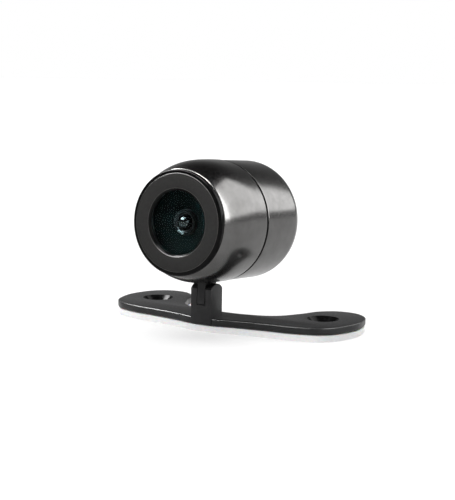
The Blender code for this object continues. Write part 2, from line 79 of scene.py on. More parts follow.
def head_points(node):
    """The vertices of a CAD node of the head, with the rest tilt taken out."""
    back = HEAD_FRAME.inverted()
    return [back @ vertex.co for vertex in frame["nodes"][node].data.vertices]


def lens_axis_height():
    heights = [point.z for point in head_points("window_glass")]
    return (min(heights) + max(heights)) / 2


AXIS_HEIGHT = lens_axis_height()
# Local +Z of this frame looks out of the lens, so a turned profile is (radius, distance forward).
LOOK_ALONG_LENS = Matrix.Rotation(math.radians(90), 4, "X")
LENS_FRAME = HEAD_FRAME @ Matrix.Translation((0.0, 0.0, AXIS_HEIGHT)) @ LOOK_ALONG_LENS


def turned_size(node):
    """(outer radius, front, back) of a CAD node about the lens axis."""
    points = head_points(node)
    radius = max(math.hypot(p.x, p.z - AXIS_HEIGHT) for p in points)
    forward = [-p.y for p in points]
    return radius, max(forward), min(forward)


BEZEL_RADIUS, FACE_F, BEZEL_BACK = turned_size("front_bezel")
GLASS_RADIUS, GLASS_FRONT, GLASS_BACK = turned_size("window_glass")
REAR_RADIUS, _, REAR_FACE = turned_size("rear_cover")
GLAND_RADIUS, GLAND_TOP, GLAND_TIP = turned_size("cable_gland")
BAFFLE_RADIUS, BAFFLE_FRONT, BAFFLE_BACK = turned_size("lens_baffle")
BARREL_RADIUS, BARREL_FRONT, BARREL_BACK = turned_size("lens_barrel")
DOME_RADIUS, DOME_FRONT, DOME_BACK = turned_size("lens_front_element")

PLATE_TOP = 3.0 * MM
PLATE_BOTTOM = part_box("mounting_bracket")[0].z
PAD_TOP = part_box("adhesive_pad")[1].z

# ------------------------------------------------------------------------------
# Materials
# ------------------------------------------------------------------------------

MASK_LOW, MASK_HIGH = 0.3, 0.7


def grey(value):
    return (value, value, value)


class Surface:
    """A Principled material whose colour, roughness and relief come from noise in object coordinates."""

    def __init__(self, name, **constants):
        self.material = bpy.data.materials.new(name)
        self.material.use_nodes = True
        self.tree = self.material.node_tree
        self.shader = self.tree.nodes["Principled BSDF"]
        self.place = self.node("ShaderNodeTexCoord").outputs["Object"]
        for socket, value in constants.items():
            self.shader.inputs[socket.replace("_", " ")].default_value = value

    def node(self, kind, **settings):
        made = self.tree.nodes.new(kind)
        for name, value in settings.items():
            setattr(made, name, value)
        return made

    def link(self, start, end):
        self.tree.links.new(start, end)

    def noise(self, per_mm, detail=3.0, roughness=0.55):
        texture = self.node("ShaderNodeTexNoise")
        texture.inputs["Scale"].default_value = per_mm / MM
        texture.inputs["Detail"].default_value = detail
        texture.inputs["Roughness"].default_value = roughness
        self.link(self.place, texture.inputs["Vector"])
        return texture.outputs["Fac"]

    def turning_marks(self, per_mm):
        """Fine rings about the turning axis, as a lathe leaves them."""
        split = self.node("ShaderNodeSeparateXYZ")
        self.link(self.place, split.inputs["Vector"])
        flat = self.node("ShaderNodeCombineXYZ")
        self.link(split.outputs["X"], flat.inputs["X"])
        self.link(split.outputs["Y"], flat.inputs["Y"])
        length = self.node("ShaderNodeVectorMath", operation="LENGTH")
        self.link(flat.outputs["Vector"], length.inputs[0])
        rings = self.node("ShaderNodeTexNoise", noise_dimensions="1D")
        rings.inputs["Scale"].default_value = per_mm / MM
        rings.inputs["Detail"].default_value = 2.0
        self.link(length.outputs["Value"], rings.inputs["W"])
        return rings.outputs["Fac"]

    def colour(self, mask, dark, light, low=0.35, high=0.65):
        """Base colour from dark, where the mask is at low, to light, where it is at high."""
        ramp = self.node("ShaderNodeValToRGB")
        ramp.color_ramp.elements[0].position = low
        ramp.color_ramp.elements[0].color = (*dark, 1.0)
        ramp.color_ramp.elements[1].position = high
        ramp.color_ramp.elements[1].color = (*light, 1.0)
        self.link(mask, ramp.inputs["Fac"])
        self.link(ramp.outputs["Color"], self.shader.inputs["Base Color"])
        return self

    def rough(self, mask, low, high):
        """Roughness between low and high, over the middle of the mask's range."""
        spread = self.node("ShaderNodeMapRange")
        spread.inputs["From Min"].default_value = MASK_LOW
        spread.inputs["From Max"].default_value = MASK_HIGH
        spread.inputs["To Min"].default_value = low
        spread.inputs["To Max"].default_value = high
        self.link(mask, spread.inputs["Value"])
        self.link(spread.outputs["Result"], self.shader.inputs["Roughness"])
        return self

    def relief(self, mask, depth_mm, strength=1.0):
        """Bumps of the given depth, added to any that are there already."""
        bump = self.node("ShaderNodeBump")
        bump.inputs["Strength"].default_value = strength
        bump.inputs["Distance"].default_value = depth_mm * MM
        self.link(mask, bump.inputs["Height"])
        before = self.shader.inputs["Normal"].links
        if before:
            self.link(before[0].from_socket, bump.inputs["Normal"])
        self.link(bump.outputs["Normal"], self.shader.inputs["Normal"])
        return self


def black_chrome():
    made = Surface("black_chrome", Metallic=1.0)
    made.colour(made.noise(0.35, 4.0), (0.112, 0.110, 0.108), (0.135, 0.133, 0.131))
    made.rough(made.noise(1.6, 5.0), 0.17, 0.24)
    return made.relief(made.noise(0.9, 2.0), 0.004).material


def satin_face():
    made = Surface("satin_face", Metallic=0.0, Specular_IOR_Level=0.14)
    made.colour(made.noise(2.2, 6.0, 0.7), (0.0070, 0.0068, 0.0064), (0.0115, 0.0112, 0.0106))
    made.rough(made.noise(3.0, 4.0), 0.45, 0.58)
    made.relief(made.turning_marks(9.0), 0.003, 0.5)
    return made.relief(made.noise(14.0, 3.0, 0.7), 0.004, 0.6).material


# Near-black gloss: the real colour of the bezel's outer band, and painted shade in the seam grooves and on
# the bracket's hole walls.
def gloss_black_and_shade():
    made = Surface("gloss_black_and_shade", Metallic=0.0, Specular_IOR_Level=0.06)
    made.colour(made.noise(1.0, 3.0), grey(0.0025), grey(0.0045))
    made.rough(made.noise(2.0, 3.0), 0.14, 0.22)
    return made.relief(made.turning_marks(5.0), 0.002, 0.5).material


def rounded_edge():
    made = Surface("rounded_edge", Metallic=0.0, Specular_IOR_Level=0.16)
    made.colour(made.noise(1.5, 3.0), (0.006, 0.006, 0.006), (0.010, 0.010, 0.0095))
    made.rough(made.noise(3.0, 3.0), 0.2, 0.28)
    return made.relief(made.turning_marks(8.0), 0.002, 0.5).material


def bright_edge():
    made = Surface("bright_edge", Metallic=1.0)
    made.colour(made.noise(2.5, 3.0), (0.50, 0.49, 0.47), (0.66, 0.65, 0.63))
    made.rough(made.noise(4.0, 3.0), 0.16, 0.28)
    return made.relief(made.turning_marks(8.0), 0.002, 0.5).material


# Lighter than the satin face: a painted highlight for the thin line round the face's outer edge. Its sheen
# from the lamps is real.
def painted_highlight_edge():
    made = Surface("painted_highlight_edge", Metallic=0.0, Specular_IOR_Level=0.35)
    made.colour(made.noise(1.2, 5.0, 0.65), (0.026, 0.024, 0.022), (0.046, 0.043, 0.040))
    made.rough(made.noise(3.0, 3.0), 0.35, 0.5)
    return made.relief(made.turning_marks(8.0), 0.002, 0.5).material


def painted_black():
    made = Surface("painted_black", Specular_IOR_Level=0.25, Coat_Weight=0.12, Coat_Roughness=0.15)
    made.colour(made.noise(0.7, 5.0, 0.6), (0.0065, 0.0065, 0.0070), (0.0115, 0.0115, 0.0122))
    made.rough(made.noise(2.0, 4.0), 0.30, 0.42)
    made.relief(made.noise(1.6, 2.0), 0.012, 0.5)
    return made.relief(made.noise(9.0, 3.0), 0.004, 0.6).material


def white_foam():
    made = Surface("white_foam", Specular_IOR_Level=0.2, Subsurface_Weight=0.15, Subsurface_Scale=0.0006)
    made.colour(made.noise(1.5, 5.0, 0.65), grey(0.88), grey(0.94))
    made.rough(made.noise(3.0, 3.0), 0.8, 0.95)
    return made.relief(made.noise(7.0, 4.0, 0.7), 0.006, 0.4).material


def lens_black():
    made = Surface("lens_black", Metallic=0.0, Specular_IOR_Level=0.02)
    made.colour(made.noise(1.2, 4.0), (0.0003, 0.0032, 0.0034), (0.0006, 0.0042, 0.0045))
    return made.rough(made.noise(3.0, 4.0), 0.6, 0.75).material


def barrel_black():
    made = Surface("barrel_black", Metallic=0.6)
    made.colour(made.noise(2.0, 4.0), (0.003, 0.0035, 0.004), (0.006, 0.0065, 0.007))
    made.rough(made.noise(3.0, 4.0), 0.3, 0.42)
    return made.relief(made.turning_marks(10.0), 0.004, 0.6).material


def ring_polish():
    made = Surface("ring_polish", Metallic=1.0)
    made.colour(made.noise(2.0, 3.0), (0.042, 0.047, 0.049), (0.058, 0.064, 0.066))
    made.rough(made.noise(4.0, 3.0), 0.2, 0.3)
    return made.relief(made.turning_marks(12.0), 0.003, 0.6).material


def coated_dome():
    """Dark front lens with a clear, bright coat."""
    made = Surface(
        "coated_dome",
        Metallic=0.0,
        Specular_IOR_Level=0.1,
        Coat_Weight=1.0,
        Coat_IOR=1.5,
        Coat_Roughness=0.02,
    )
    made.colour(made.noise(0.6, 3.0), (0.0010, 0.0008, 0.0007), (0.0030, 0.0020, 0.0016))
    return made.rough(made.noise(2.0, 3.0), 0.10, 0.16).material


def clear_glass(name, tint, ior):
    made = Surface(name, Transmission_Weight=1.0, IOR=ior)
    paler = tuple(min(1.0, channel * 1.03) for channel in tint)
    made.colour(made.noise(0.2, 2.0), tint, paler)
    return made.rough(made.noise(0.8, 4.0), 0.0, 0.02).material


def rubber():
    made = Surface("rubber", Specular_IOR_Level=0.4)
    made.colour(made.noise(1.5, 5.0), grey(0.010), grey(0.020))
    made.rough(made.noise(3.0, 4.0), 0.62, 0.8)
    return made.relief(made.noise(10.0, 3.0), 0.01, 0.6).material


def bare_metal(name, dark, light, low, high):
    made = Surface(name, Metallic=1.0)
    made.colour(made.noise(2.0, 4.0), dark, light)
    made.rough(made.noise(5.0, 4.0), low, high)
    return made.relief(made.noise(12.0, 3.0), 0.003, 0.6).material


def moulded(name, dark, light, low, high):
    made = Surface(name, Specular_IOR_Level=0.45)
    made.colour(made.noise(1.5, 4.0), dark, light)
    made.rough(made.noise(4.0, 4.0), low, high)
    return made.relief(made.noise(9.0, 3.0), 0.004, 0.6).material


def circuit_board():
    made = Surface("circuit_board", Coat_Weight=0.4, Coat_Roughness=0.2)
    tracks = made.node("ShaderNodeTexWave", wave_type="BANDS", bands_direction="DIAGONAL")
    tracks.inputs["Scale"].default_value = 0.5 / MM
    tracks.inputs["Distortion"].default_value = 6.0
    tracks.inputs["Detail"].default_value = 1.0
    made.link(made.place, tracks.inputs["Vector"])
    made.colour(tracks.outputs["Fac"], (0.008, 0.075, 0.030), (0.020, 0.150, 0.062), 0.46, 0.54)
    made.rough(made.noise(4.0, 3.0), 0.3, 0.42)
    return made.relief(tracks.outputs["Fac"], 0.02, 0.5).material


BLACK_CHROME = black_chrome()
SATIN_FACE = satin_face()
GLOSS_BLACK_AND_SHADE = gloss_black_and_shade()
ROUNDED_EDGE = rounded_edge()
BRIGHT_EDGE = bright_edge()
PAINTED_HIGHLIGHT_EDGE = painted_highlight_edge()
PAINTED_BLACK = painted_black()
WHITE_FOAM = white_foam()
LENS_BLACK = lens_black()
BARREL_BLACK = barrel_black()
RING_POLISH = ring_polish()
COATED_DOME = coated_dome()
WINDOW_GLASS = clear_glass("window_glass_clear", (0.78, 0.92, 0.93), 1.10)
LENS_GLASS = clear_glass("lens_glass_coated", (0.55, 0.60, 0.66), 1.55)
FILTER_GLASS = clear_glass("filter_glass_cyan", (0.60, 0.90, 0.95), 1.50)
RUBBER = rubber()
STEEL = bare_metal("steel_bare", grey(0.48), grey(0.60), 0.24, 0.36)
SCREW_BLACK = bare_metal("screw_black_oxide", grey(0.05), grey(0.09), 0.28, 0.4)
CAN_METAL = bare_metal("can_metal_bright", grey(0.60), grey(0.72), 0.2, 0.3)
NYLON = moulded("nylon_natural", (0.66, 0.65, 0.60), (0.78, 0.77, 0.72), 0.42, 0.55)
CHIP_PLASTIC = moulded("chip_plastic_black", grey(0.012), grey(0.022), 0.4, 0.55)
SOCKET_PLASTIC = moulded("socket_plastic_cream", (0.70, 0.67, 0.58), (0.80, 0.77, 0.68), 0.4, 0.5)
CIRCUIT_BOARD = circuit_board()

# ------------------------------------------------------------------------------
# Mesh helpers
# ------------------------------------------------------------------------------

LATHE_STEPS = 192
LENS_STEPS = 128
SMALL_STEPS = 96
FILLET_STEPS = 4
SAME_POINT = 1e-7
SHARP_ANGLE = math.radians(34)


def new_piece(name, mesh, materials, body, place=None):
    """Links a mesh as a finished piece that rides on a CAD body."""
    piece = bpy.data.objects.new(name, mesh)
    bpy.context.scene.collection.objects.link(piece)
    for material in materials:
        piece.data.materials.append(material)
    piece.data.shade_smooth()
    piece.data.set_sharp_from_angle(angle=SHARP_ANGLE)
    if place is not None:
        piece.matrix_world = place
    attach(piece, body)
    return piece


def filleted(corners, closed=True):
    """A profile from (radius, forward, fillet) corners, each rounded by a blend of its fillet's size."""
    longest_share = 0.48
    profile = []
    total = len(corners)
    for index, (x, y, size) in enumerate(corners):
        corner = Vector((x, y))
        at_end = not closed and index in (0, total - 1)
        if size <= 0 or at_end:
            profile.append((x, y))
            continue
        before = Vector(corners[index - 1][:2])
        after = Vector(corners[(index + 1) % total][:2])
        reach_in = min(size, longest_share * (before - corner).length)
        reach_out = min(size, longest_share * (after - corner).length)
        start = corner + (before - corner).normalized() * reach_in
        end = corner + (after - corner).normalized() * reach_out
        for step in range(FILLET_STEPS + 1):
            t = step / FILLET_STEPS
            point = start * (1 - t) ** 2 + corner * (2 * t * (1 - t)) + end * t**2
            profile.append((point.x, point.y))
    return profile


def lathe_mesh(name, profile, steps=LATHE_STEPS, closed=True, band=None):
    """Turns a (radius, forward) profile about local Z.

    band gives the index of a face's material from the radius and height of its middle.
    """
    shape = bmesh.new()
    points = [shape.verts.new((radius, 0.0, forward)) for radius, forward in profile]
    edges = [shape.edges.new(pair) for pair in zip(points, points[1:])]
    if closed:
        edges.append(shape.edges.new((points[-1], points[0])))
    bmesh.ops.spin(
        shape,
        geom=points + edges,
        cent=(0.0, 0.0, 0.0),
        axis=(0.0, 0.0, 1.0),
        dvec=(0.0, 0.0, 0.0),
        angle=math.tau,
        steps=steps,
        use_merge=True,
    )
    bmesh.ops.remove_doubles(shape, verts=shape.verts, dist=SAME_POINT)
    bmesh.ops.recalc_face_normals(shape, faces=shape.faces)
    if band:
        for face in shape.faces:
            middle = face.calc_center_median()
            face.material_index = band(math.hypot(middle.x, middle.y), middle.z)
    mesh = bpy.data.meshes.new(name)
    shape.to_mesh(mesh)
    shape.free()
    return mesh


def lathe(name, corners, materials, steps=LATHE_STEPS, closed=True, band=None):
    """A piece of the camera head, turned about the lens axis."""
    mesh = lathe_mesh(name, filleted(corners, closed), steps, closed, band)
    return new_piece(name, mesh, materials, HEAD, LENS_FRAME)


def block(centre, size):
    mesh = bpy.data.meshes.new("block")
    shape = bmesh.new()
    place = Matrix.Translation(centre) @ Matrix.Diagonal((*size, 1.0))
    bmesh.ops.create_cube(shape, size=1.0, matrix=place)
    shape.to_mesh(mesh)
    shape.free()
    return bpy.data.objects.new("block", mesh)


def rod(centre, start_radius, end_radius, length, along, steps=64):
    """A cylinder or cone, its length along X or Z."""
    turn = {"X": Matrix.Rotation(math.radians(90), 4, "Y"), "Z": Matrix.Identity(4)}
    shape = bmesh.new()
    bmesh.ops.create_cone(
        shape,
        cap_ends=True,
        segments=steps,
        radius1=start_radius,
        radius2=end_radius,
        depth=length,
        matrix=Matrix.Translation(centre) @ turn[along],
    )
    mesh = bpy.data.meshes.new("rod")
    shape.to_mesh(mesh)
    shape.free()
    return bpy.data.objects.new("rod", mesh)


def shaped(base, cutters, bevel=0.0, cut_first=()):
    """The mesh of base: first cut by cut_first, then with its edges bevelled, then cut by the cutters."""
    scene_objects = bpy.context.scene.collection.objects
    scene_objects.link(base)
    helpers = [*cut_first, *cutters]
    for helper in helpers:
        scene_objects.link(helper)

    def cut(tool):
        step = base.modifiers.new("cut", "BOOLEAN")
        step.operation = "DIFFERENCE"
        step.solver = "EXACT"
        step.object = tool

    for tool in cut_first:
        cut(tool)
    if bevel:
        rounding = base.modifiers.new("rounding", "BEVEL")
        rounding.width = bevel
        rounding.segments = 3
        rounding.limit_method = "ANGLE"
        rounding.angle_limit = math.radians(40)
        rounding.harden_normals = False
    for tool in cutters:
        cut(tool)
    bpy.context.view_layer.update()
    graph = bpy.context.evaluated_depsgraph_get()
    mesh = bpy.data.meshes.new_from_object(base.evaluated_get(graph))
    for used in (base, *helpers):
        bpy.data.objects.remove(used, do_unlink=True)
    return mesh


def side_view_block(outline, width):
    """A block of the given (y, z) outline, its width along X and centred on X = 0."""
    shape = bmesh.new()
    left = [shape.verts.new((-width / 2, y, z)) for y, z in outline]
    face = shape.faces.new(left)
    pushed = bmesh.ops.extrude_face_region(shape, geom=[face])
    moved = [item for item in pushed["geom"] if isinstance(item, bmesh.types.BMVert)]
    bmesh.ops.translate(shape, verts=moved, vec=(width, 0.0, 0.0))
    bmesh.ops.recalc_face_normals(shape, faces=shape.faces)
    mesh = bpy.data.meshes.new("side_view_block")
    shape.to_mesh(mesh)
    shape.free()
    return bpy.data.objects.new("side_view_block", mesh)


# ------------------------------------------------------------------------------
# Camera head
# ------------------------------------------------------------------------------

FACE_RADIUS = 9.7 * MM
WINDOW_RADIUS = 6.8 * MM
WINDOW_INNER_RADIUS = 6.35 * MM
BEZEL_LIP_F = 11.6 * MM
SEAM_F = -2.0 * MM
WIDEST_F = -1.0 * MM
BODY_RADIUS = 12.6 * MM
BODY_FRONT_RADIUS = 10.6 * MM
HOUSING_FRONT_F = 11.0 * MM
BORE_RADIUS = 9.3 * MM
SPIGOT_BORE_RADIUS = 10.8 * MM
LEDGE_F = 0.6 * MM


def make_front_bezel():
    shoulder_f = 11.15 * MM
    spigot, spigot_bore = 9.0 * MM, 8.2 * MM
    edge = 0.08 * MM
    window_edge = 0.18 * MM
    face, rim, window_line, face_line = range(4)
    corners = [
        (WINDOW_INNER_RADIUS, BEZEL_LIP_F + 0.05 * MM, 0.03 * MM),
        (WINDOW_RADIUS, FACE_F, 0.16 * MM),
        (FACE_RADIUS, FACE_F, 0.02 * MM),
        (FACE_RADIUS + edge, FACE_F - 0.07 * MM, 0.02 * MM),
        (BEZEL_RADIUS - 0.2 * MM, FACE_F - 0.1 * MM, 0.1 * MM),
        (BEZEL_RADIUS, FACE_F - 0.3 * MM, 0.1 * MM),
        (BEZEL_RADIUS, shoulder_f, 0.08 * MM),
        (spigot, shoulder_f, 0.0),
        (spigot, BEZEL_BACK, 0.05 * MM),
        (spigot_bore, BEZEL_BACK, 0.05 * MM),
        (spigot_bore, BEZEL_LIP_F, 0.0),
        (WINDOW_INNER_RADIUS, BEZEL_LIP_F, 0.04 * MM),
    ]

    def band(radius, forward):
        """A satin face, with a smooth edge round the window and, near the outside, a line lighter than the
        face that is a painted highlight.
        """
        if radius < WINDOW_RADIUS + 0.02 * MM:
            at_edge = radius > WINDOW_RADIUS - window_edge and forward > shoulder_f
            return window_line if at_edge else rim
        if forward > FACE_F - 0.01 * MM:
            return face
        if radius < FACE_RADIUS + edge and forward > FACE_F - 0.08 * MM:
            return face_line
        return rim

    materials = [SATIN_FACE, GLOSS_BLACK_AND_SHADE, ROUNDED_EDGE, PAINTED_HIGHLIGHT_EDGE]
    bezel = lathe("bezel_ring", corners, materials, band=band)
    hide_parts("front_bezel")


def make_window():
    edge = 0.12 * MM
    corners = [
        (0.0, GLASS_FRONT, 0.0),
        (GLASS_RADIUS, GLASS_FRONT, edge),
        (GLASS_RADIUS, GLASS_BACK, edge),
        (0.0, GLASS_BACK, 0.0),
    ]
    glass = lathe("window_disc", corners, [WINDOW_GLASS], closed=False)
    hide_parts("window_glass")


def make_baffle():
    """The dish behind the window: a smooth curve that falls towards the lens from a step at its rim."""
    rim = 6.9 * MM
    step = 0.12 * MM
    throat = 2.7 * MM
    fall = 1.0 * MM
    steepness = 1.6
    rows = 14
    corners = [
        (rim, BAFFLE_FRONT, 0.05 * MM),
        (BAFFLE_RADIUS, BAFFLE_FRONT, 0.05 * MM),
        (BAFFLE_RADIUS, BAFFLE_BACK + 0.5 * MM, 0.05 * MM),
        (throat, BAFFLE_BACK, 0.05 * MM),
    ]
    for index in range(rows + 1):
        share = index / rows
        radius = throat + (rim - throat) * share
        corners.append((radius, BAFFLE_FRONT - step - fall * (1 - share) ** steepness, 0.0))
    baffle = lathe("baffle_dish", corners, [LENS_BLACK])
    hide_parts("lens_baffle")


def make_lens():
    bore = 1.75 * MM
    nose = 2.5 * MM
    shelf = 2.2 * MM
    shoulder_f = 7.5 * MM
    rear_bore, rear_bore_f, bore_f = 2.9 * MM, 6.9 * MM, 7.1 * MM
    corners = [
        (bore, BARREL_FRONT - 0.4 * MM, 0.05 * MM),
        (shelf, BARREL_FRONT - 0.2 * MM, 0.02 * MM),
        (nose - 0.1 * MM, BARREL_FRONT, 0.02 * MM),
        (nose, BARREL_FRONT - 0.1 * MM, 0.05 * MM),
        (nose, shoulder_f, 0.0),
        (BARREL_RADIUS, shoulder_f, 0.1 * MM),
        (BARREL_RADIUS, BARREL_BACK, 0.1 * MM),
        (rear_bore, BARREL_BACK, 0.05 * MM),
        (rear_bore, rear_bore_f, 0.0),
        (bore, bore_f, 0.0),
    ]

    def band(radius, forward):
        polished = forward > BARREL_FRONT - 0.21 * MM and radius < nose - 0.08 * MM
        return 1 if polished else 0

    materials = [BARREL_BLACK, RING_POLISH]
    barrel = lathe("lens_barrel_turned", corners, materials, steps=LENS_STEPS, band=band)
    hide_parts("lens_barrel")

    rows = 24
    dome = []
    for index in range(rows + 1):
        turn = math.radians(90) * index / rows
        forward = DOME_FRONT - DOME_RADIUS * (1 - math.cos(turn))
        dome.append((DOME_RADIUS * math.sin(turn), forward, 0.0))
    dome += [(DOME_RADIUS, DOME_BACK, 0.0), (0.0, DOME_BACK, 0.0)]
    glass = lathe("front_lens_dome", dome, [COATED_DOME], steps=SMALL_STEPS, closed=False)
    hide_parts("lens_front_element")


def housing_radius(forward):
    """The front housing's outline: straight at the seam and more and more curved towards the bezel."""
    share = max(0.0, forward - WIDEST_F) / (HOUSING_FRONT_F - WIDEST_F)
    return BODY_RADIUS - (BODY_RADIUS - BODY_FRONT_RADIUS) * share**3.5


def make_front_housing():
    rows = 36
    crowding = 1.3
    front_edge = 0.2 * MM
    chamfer = 0.26 * MM
    bright_line = 0.07 * MM
    lip = housing_radius(HOUSING_FRONT_F - front_edge) - 0.22 * MM
    corners = [
        (BORE_RADIUS, HOUSING_FRONT_F, 0.05 * MM),
        (lip, HOUSING_FRONT_F, 0.05 * MM),
    ]
    for index in range(rows + 1):
        share = (index / rows) ** crowding
        forward = HOUSING_FRONT_F - front_edge - (HOUSING_FRONT_F - front_edge - WIDEST_F) * share
        corners.append((housing_radius(forward), forward, 0.0))
    corners += [
        (BODY_RADIUS, SEAM_F + chamfer + bright_line, 0.02 * MM),
        (BODY_RADIUS - 0.03 * MM, SEAM_F + chamfer, 0.02 * MM),
        (BODY_RADIUS - chamfer, SEAM_F, 0.05 * MM),
        (SPIGOT_BORE_RADIUS, SEAM_F, 0.0),
        (SPIGOT_BORE_RADIUS, LEDGE_F, 0.0),
        (BORE_RADIUS, LEDGE_F, 0.0),
    ]

    chrome, line, groove = range(3)

    def band(radius, forward):
        """The seam's groove in near-black gloss, which is painted shade, with a bright line beside it and
        chrome everywhere else.
        """
        if radius > BODY_RADIUS - chamfer - 0.02 * MM and forward < SEAM_F + chamfer:
            return groove
        at_line = radius > BODY_RADIUS - chamfer and forward < SEAM_F + chamfer + bright_line
        return line if at_line else chrome

    shell = lathe("barrel_shell", corners, [BLACK_CHROME, BRIGHT_EDGE, GLOSS_BLACK_AND_SHADE], band=band)
    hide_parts("front_housing")


COLUMN_WIDTH = 5.0 * MM
COLUMN_DEPTH = 4.2 * MM
KNUCKLE_RADIUS = 2.6 * MM
SOCKET_RADIUS = 2.72 * MM
SOCKET_LIP = 1.5 * MM
TONGUE_WIDTH = 1.8 * MM
SLOT_WIDTH = 2.0 * MM
TONGUE_HOLE_RADIUS = 1.5 * MM
PIN_HOLE_RADIUS = 0.95 * MM
SCREW_HEAD_RADIUS = 1.55 * MM
BLIND_WALL = 0.6 * MM
ARC_STEPS = 28


def knuckle_outline(far_z, side):
    """(y, z) outline about the pivot, straight to far_z from a round end above (side 1) or below (-1)."""
    half = COLUMN_DEPTH / 2
    clip = math.acos(half / KNUCKLE_RADIUS)
    turns = [side * (clip + (math.pi - 2 * clip) * i / ARC_STEPS) for i in range(ARC_STEPS + 1)]
    rounded = [(KNUCKLE_RADIUS * math.cos(t), KNUCKLE_RADIUS * math.sin(t)) for t in turns]
    return [(half, far_z), *rounded, (-half, far_z)]


def slot_outline():
    """(y, z) outline about the pivot of the slot between the ears: a round floor, open above its lips."""
    reach = 2 * COLUMN_DEPTH
    lip = math.asin(SOCKET_LIP / SOCKET_RADIUS)
    turns = [-lip - (math.pi - 2 * lip) * i / ARC_STEPS for i in range(ARC_STEPS + 1)]
    floor = [(SOCKET_RADIUS * math.cos(t), SOCKET_RADIUS * math.sin(t)) for t in turns]
    return [(reach, reach), (reach, -SOCKET_LIP), *floor, (-reach, -SOCKET_LIP), (-reach, reach)]


def make_tongue():
    """The flat lug under the housing that turns between the column's ears."""
    top = AXIS_HEIGHT - SPIGOT_BORE_RADIUS - 0.3 * MM
    tongue = side_view_block(knuckle_outline(top, -1), TONGUE_WIDTH)
    hole = rod((0.0, 0.0, 0.0), TONGUE_HOLE_RADIUS, TONGUE_HOLE_RADIUS, 3 * TONGUE_WIDTH, "X")
    mesh = shaped(tongue, [hole], bevel=0.08 * MM)
    piece = new_piece("housing_tongue", mesh, [PAINTED_BLACK], HEAD, HEAD_FRAME)


def make_column():
    """The post on the plate, slotted into two ears; the screw goes in from -X and ends in a blind hole."""
    column = side_view_block(knuckle_outline(PLATE_BOTTOM + 0.1 * MM - PIVOT.z, 1), COLUMN_WIDTH)
    slot = side_view_block(slot_outline(), SLOT_WIDTH)
    hole_start = -COLUMN_WIDTH
    hole_end = COLUMN_WIDTH / 2 - BLIND_WALL
    hole_middle = ((hole_start + hole_end) / 2, 0.0, 0.0)
    hole = rod(hole_middle, PIN_HOLE_RADIUS, PIN_HOLE_RADIUS, hole_end - hole_start, "X")
    sink_middle = (0.2 * MM - COLUMN_WIDTH / 2, 0.0, 0.0)
    sink_radius, sink_length = SCREW_HEAD_RADIUS + 0.65 * MM, 1.2 * MM
    sink = rod(sink_middle, sink_radius, PIN_HOLE_RADIUS, sink_length, "X")
    mesh = shaped(column, [hole, sink], bevel=0.1 * MM, cut_first=[slot])
    piece = new_piece("bracket_column", mesh, [PAINTED_BLACK], BASE, Matrix.Translation(PIVOT))


def make_tilt_screw():
    """The hinge screw, turned about local Z with its cross-recessed head up, then laid along -X."""
    lo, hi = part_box("tilt_screw")
    face = -lo.x
    tip = -hi.x
    shank = 0.7 * MM
    recess_length, recess_width, recess_depth = 1.9 * MM, 0.42 * MM, 0.9 * MM
    corners = [
        (0.0, face, 0.0),
        (SCREW_HEAD_RADIUS - 0.25 * MM, face, 0.1 * MM),
        (SCREW_HEAD_RADIUS, face - 0.1 * MM, 0.06 * MM),
        (shank, face - 0.8 * MM, 0.1 * MM),
        (shank, 0.1 * MM - hi.x, 0.05 * MM),
        (shank - 0.1 * MM, tip, 0.0),
        (0.0, tip, 0.0),
    ]
    mesh = lathe_mesh("tilt_screw_turned", filleted(corners, closed=False), SMALL_STEPS, closed=False)
    base = bpy.data.objects.new("screw", mesh)
    recess = [
        block((0.0, 0.0, face), (recess_length, recess_width, recess_depth)),
        block((0.0, 0.0, face), (recess_width, recess_length, recess_depth)),
    ]
    turned = shaped(base, recess)
    lay = Matrix.Rotation(math.radians(-90), 4, "Y") @ Matrix.Rotation(math.radians(25), 4, "Z")
    place = Matrix.Translation(PIVOT) @ lay
    piece = new_piece("tilt_screw_sunk", turned, [SCREW_BLACK], BASE, place)
    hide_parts("tilt_screw")


